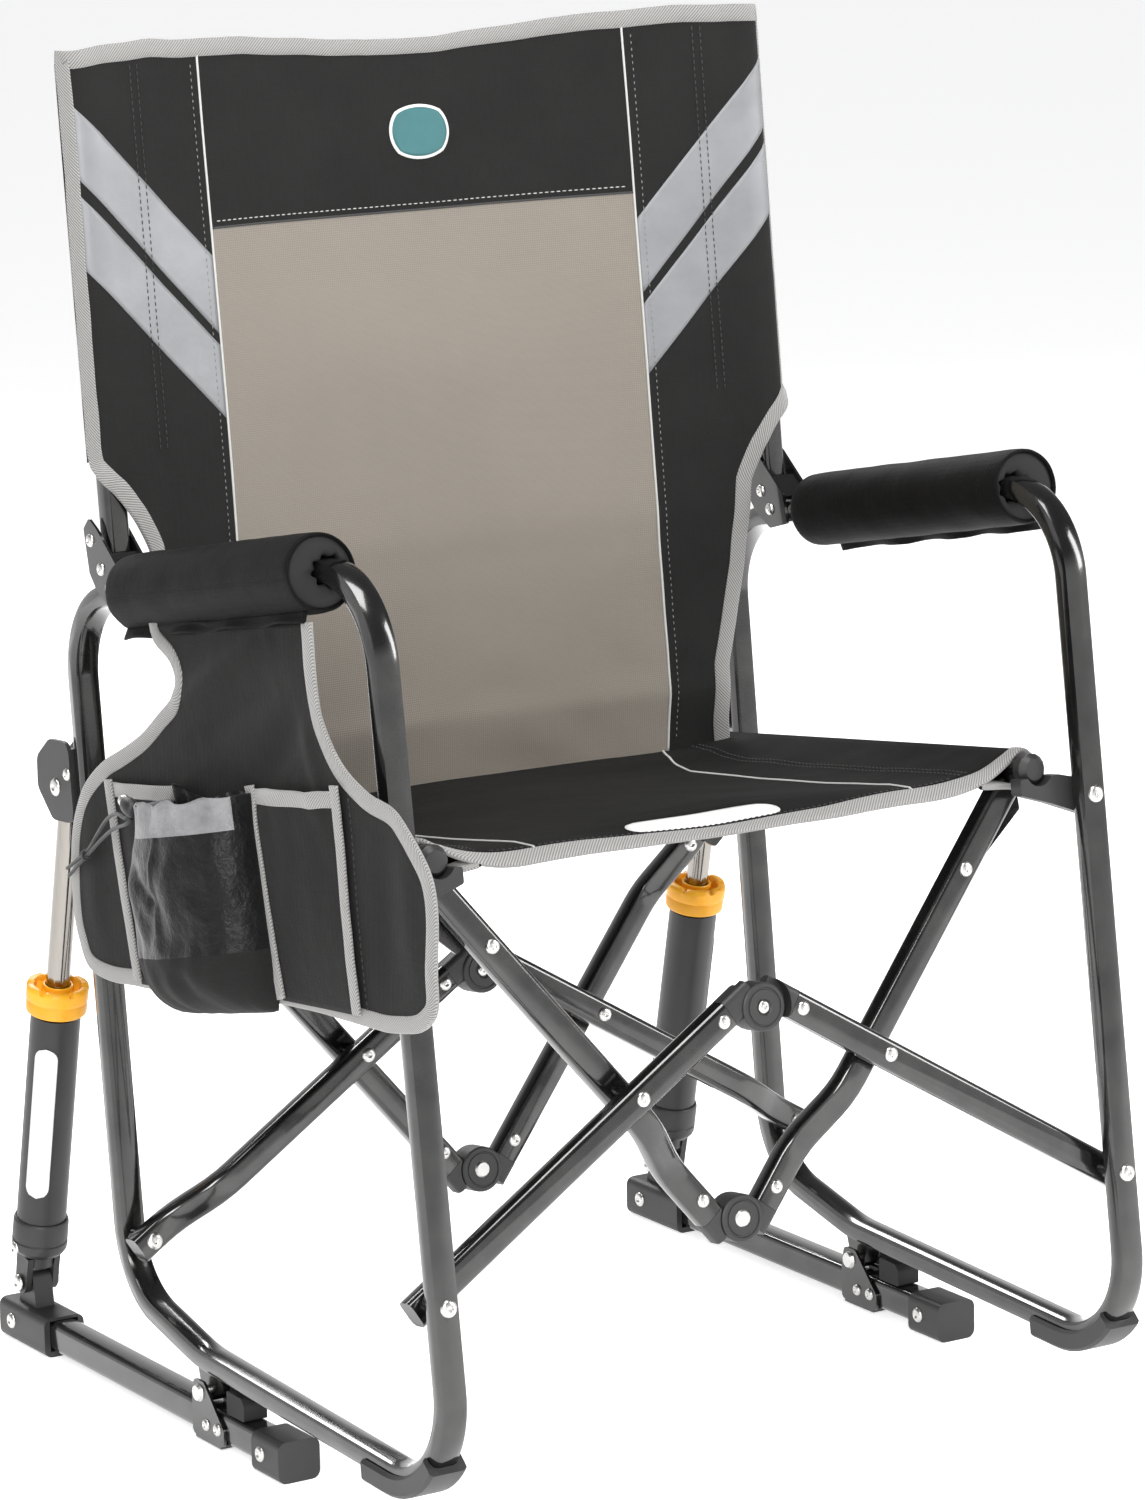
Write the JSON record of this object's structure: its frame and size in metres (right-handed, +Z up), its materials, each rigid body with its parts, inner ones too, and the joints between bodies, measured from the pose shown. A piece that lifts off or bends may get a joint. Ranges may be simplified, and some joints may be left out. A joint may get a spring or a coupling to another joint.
{
  "type": "folding rocking camp chair",
  "caption": "Folding outdoor armchair that rocks on two ground rails against spring pistons; fabric seat and back on a scissor frame, with an arm organizer.",
  "frame": {"origin": "under the middle of the overall box, on the ground; the chair's own middle plane is 24 mm to +X of it because the organizer sticks out on the -X side", "axes": "+Z up; the sitter faces -Y; +X is towards the arm without the organizer"},
  "size_m": [0.6676, 0.666, 0.9375],
  "materials": {
    "gloss_paint": "gloss charcoal powder coat",
    "dark_plastic": "fine-grained dark grey nylon",
    "fabric": "charcoal ripstop with woven binding",
    "foam": "black foam tube",
    "steel": "polished",
    "collar": "amber moulded plastic",
    "barrel": "satin black sleeve with a blank label",
    "bumper": "black rubber"
  },
  "bodies": {
    "frame_left": {"side_frame_left": "gloss_paint", "front_foot_left": "dark_plastic", "arm_pad_left": "foam", "back_bracket_left": "gloss_paint", "back_post_left": "gloss_paint", "rail_saddle_left": "dark_plastic", "piston_bracket_left": "dark_plastic", "back_sling": "fabric", "organizer_panel": "fabric", "bottle_pocket": "fabric"},
    "low_left": {"low_front_bar_left": "gloss_paint", "low_rear_bar_left": "gloss_paint", "low_front_knuckle_left": "dark_plastic", "low_rear_knuckle_left": "dark_plastic"},
    "up_left": {"up_front_bar_left": "gloss_paint", "up_rear_bar_left": "gloss_paint", "up_front_knuckle_left": "dark_plastic", "up_rear_knuckle_left": "dark_plastic", "front_hub_bolt": "steel", "rear_hub_bolt": "steel", "seat_rail_left": "gloss_paint", "seat_rail_cap_left": "dark_plastic", "seat_sling": "fabric"},
    "up_right": {"up_front_bar_right": "gloss_paint", "up_rear_bar_right": "gloss_paint", "up_front_knuckle_right": "dark_plastic", "up_rear_knuckle_right": "dark_plastic", "seat_rail_right": "gloss_paint", "seat_rail_cap_right": "dark_plastic"},
    "low_right": {"low_front_bar_right": "gloss_paint", "low_rear_bar_right": "gloss_paint", "low_front_knuckle_right": "dark_plastic", "low_rear_knuckle_right": "dark_plastic"},
    "frame_right": {"side_frame_right": "gloss_paint", "front_foot_right": "dark_plastic", "arm_pad_right": "foam", "back_bracket_right": "gloss_paint", "back_post_right": "gloss_paint", "rail_saddle_right": "dark_plastic", "piston_bracket_right": "dark_plastic"},
    "ground_rail_left": {"ground_rail_left": "gloss_paint", "ground_front_cap_left": "dark_plastic", "ground_rear_cap_left": "dark_plastic", "pivot_bracket_left": "gloss_paint", "rocker_pin_left": "steel", "rail_bumper_left": "bumper"},
    "piston_left": {"piston_yoke_left": "dark_plastic", "piston_barrel_left": "barrel", "piston_collar_left": "collar"},
    "rod_left": {"piston_rod_left": "steel"},
    "ground_rail_right": {"ground_rail_right": "gloss_paint", "ground_front_cap_right": "dark_plastic", "ground_rear_cap_right": "dark_plastic", "pivot_bracket_right": "gloss_paint", "rocker_pin_right": "steel", "rail_bumper_right": "bumper"},
    "piston_right": {"piston_yoke_right": "dark_plastic", "piston_barrel_right": "barrel", "piston_collar_right": "collar"},
    "rod_right": {"piston_rod_right": "steel"}
  },
  "joints": [
    {"name": "fold", "type": "hinge", "parent": "frame_left", "child": "low_left", "pos_m": [-0.24215, -0.25181, 0.16703], "axis": [0, -0.9919, 0.1271], "range_deg": [0, 42], "deforming": ["seat_sling", "back_sling"]},
    {"name": "cross_left", "type": "hinge", "parent": "low_left", "child": "up_left", "pos_m": [-0.07005, -0.23829, 0.27257], "axis": [0, -0.9919, 0.1271], "range_deg": [-69.16, 0]},
    {"name": "lower_hub", "type": "hinge", "parent": "up_left", "child": "up_right", "pos_m": [0.02885, -0.25101, 0.17328], "axis": [0, -0.9919, 0.1271], "range_deg": [0, 54.32]},
    {"name": "cross_right", "type": "hinge", "parent": "up_right", "child": "low_right", "pos_m": [0.12775, -0.23829, 0.27257], "axis": [0, -0.9919, 0.1271], "range_deg": [-69.16, 0]},
    {"name": "frame_pin_right", "type": "hinge", "parent": "low_right", "child": "frame_right", "pos_m": [0.29985, -0.25181, 0.16703], "axis": [0, -0.9919, 0.1271], "range_deg": [0, 42.01]},
    {"name": "rock", "type": "hinge", "parent": "frame_left", "child": "ground_rail_left", "pos_m": [-0.24215, 0.03469, 0.0345], "axis": [1, 0, 0], "range_deg": [0, 16], "stiffness_Nm_per_rad": 90, "springref_deg": -3.44},
    {"name": "piston_foot_left", "type": "hinge", "parent": "ground_rail_left", "child": "piston_left", "pos_m": [-0.24215, 0.30299, 0.0465], "axis": [1, 0, 0], "range_deg": [-15.57, 0]},
    {"name": "piston_slide_left", "type": "slide", "parent": "piston_left", "child": "rod_left", "axis": [0, 0.2149, -0.9766], "range_m": [0, 0.07481]},
    {"name": "rock_right", "type": "hinge", "parent": "frame_right", "child": "ground_rail_right", "pos_m": [0.29985, 0.03469, 0.0345], "axis": [1, 0, 0], "range_deg": [0, 16.01], "stiffness_Nm_per_rad": 90, "springref_deg": -3.44},
    {"name": "piston_foot_right", "type": "hinge", "parent": "ground_rail_right", "child": "piston_right", "pos_m": [0.29985, 0.30299, 0.0465], "axis": [1, 0, 0], "range_deg": [-15.57, 0]},
    {"name": "piston_slide_right", "type": "slide", "parent": "piston_right", "child": "rod_right", "axis": [0, 0.2149, -0.9766], "range_m": [0, 0.07481]}
  ],
  "couplings": [
    {"joint": "cross_left", "follows": "fold", "ratio": -1.6465},
    {"joint": "lower_hub", "follows": "fold", "ratio": 1.293},
    {"joint": "cross_right", "follows": "fold", "ratio": -1.6465},
    {"joint": "frame_pin_right", "follows": "fold", "ratio": 1},
    {"joint": "piston_foot_left", "follows": "rock", "ratio": -0.97256},
    {"joint": "piston_slide_left", "follows": "rock", "m_per_rad": 0.26752},
    {"joint": "rock_right", "follows": "rock", "ratio": 1},
    {"joint": "piston_foot_right", "follows": "rock", "ratio": -0.97256},
    {"joint": "piston_slide_right", "follows": "rock", "m_per_rad": 0.26752}
  ]
}
